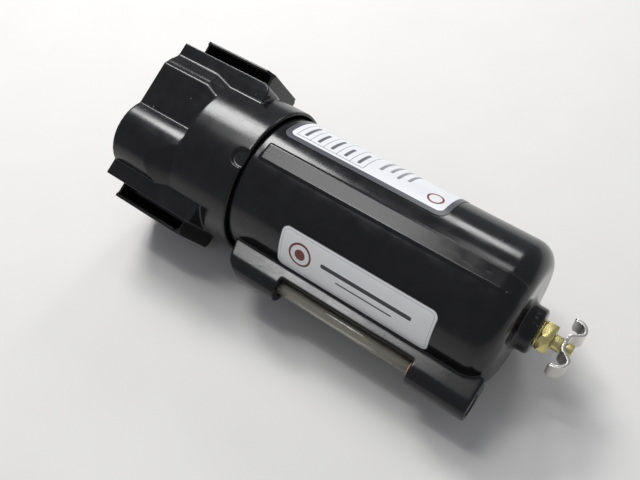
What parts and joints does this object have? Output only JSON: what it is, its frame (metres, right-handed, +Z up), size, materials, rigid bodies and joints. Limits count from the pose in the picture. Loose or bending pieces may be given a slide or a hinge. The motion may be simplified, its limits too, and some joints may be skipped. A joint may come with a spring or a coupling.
{
  "type": "compressed air filter",
  "caption": "Compressed air filter with clamp-flanged cast head, twist-off cast bowl, external sight glass and a brass drain cock with a stamped wing.",
  "frame": {"origin": "middle of the bounding box's bottom, on the surface the filter lies on", "axes": "+X along the filter from the head to the drain, sloping down 1.8 degrees with it; -Y towards the inlet flange and the sight glass; +Z up"},
  "size_m": [0.2198, 0.0926, 0.0782],
  "materials": {
    "black_paint": "gloss black paint on die-cast aluminium",
    "black_rubber": "matt nitrile rubber",
    "black_acetal": "moulded",
    "sintered_media": "porous sintered element",
    "zinc_plated_steel": "bright zinc plate",
    "sight_glass": "clear tube",
    "salmon_silicone": "soft seal",
    "label_silver": "satin silver film",
    "label_white": "satin white film",
    "brass": "turned and hex stock",
    "nickel_plate": "bright nickel plate"
  },
  "bodies": {
    "head_body": {"head": "black_paint", "swirl_deflector": "black_acetal", "upper_element_gasket": "black_rubber", "filter_element": "sintered_media", "lower_element_gasket": "black_rubber", "baffle": "black_acetal", "tie_rod": "zinc_plated_steel", "retaining_nut": "zinc_plated_steel"},
    "seal_body": {"bowl_o_ring": "black_rubber"},
    "bowl_body": {"bowl": "black_paint", "sight_glass": "sight_glass", "upper_glass_seal": "salmon_silicone", "lower_glass_seal": "salmon_silicone", "sight_glass_plug": "zinc_plated_steel", "front_label": "label_silver", "rating_label": "label_white", "drain_body": "brass", "drain_washer": "brass"},
    "stem_body": {"drain_stem": "brass"},
    "wing_body": {"wing_handle": "nickel_plate"}
  },
  "joints": [
    {"name": "bowl_lift", "type": "slide", "parent": "head_body", "child": "seal_body", "axis": [0.9995, 0, -0.0318], "range_m": [-0.00062, 0.00138]},
    {"name": "bowl_twist", "type": "hinge", "parent": "seal_body", "child": "bowl_body", "pos_m": [-0.04204, 0, 0.0378], "axis": [-0.9995, 0, 0.0318], "range_deg": [-14, 31]},
    {"name": "stem_lift", "type": "slide", "parent": "bowl_body", "child": "stem_body", "axis": [0.9995, 0, -0.0318], "range_m": [0, 0.0015]},
    {"name": "wing_turn", "type": "hinge", "parent": "stem_body", "child": "wing_body", "pos_m": [0.10444, 0, 0.03313], "axis": [0.9995, 0, -0.0318], "range_deg": [0, 540]}
  ],
  "couplings": [
    {"joint": "bowl_twist", "follows": "bowl_lift", "rad_per_m": 392.7},
    {"joint": "wing_turn", "follows": "stem_lift", "rad_per_m": 6283.2}
  ]
}
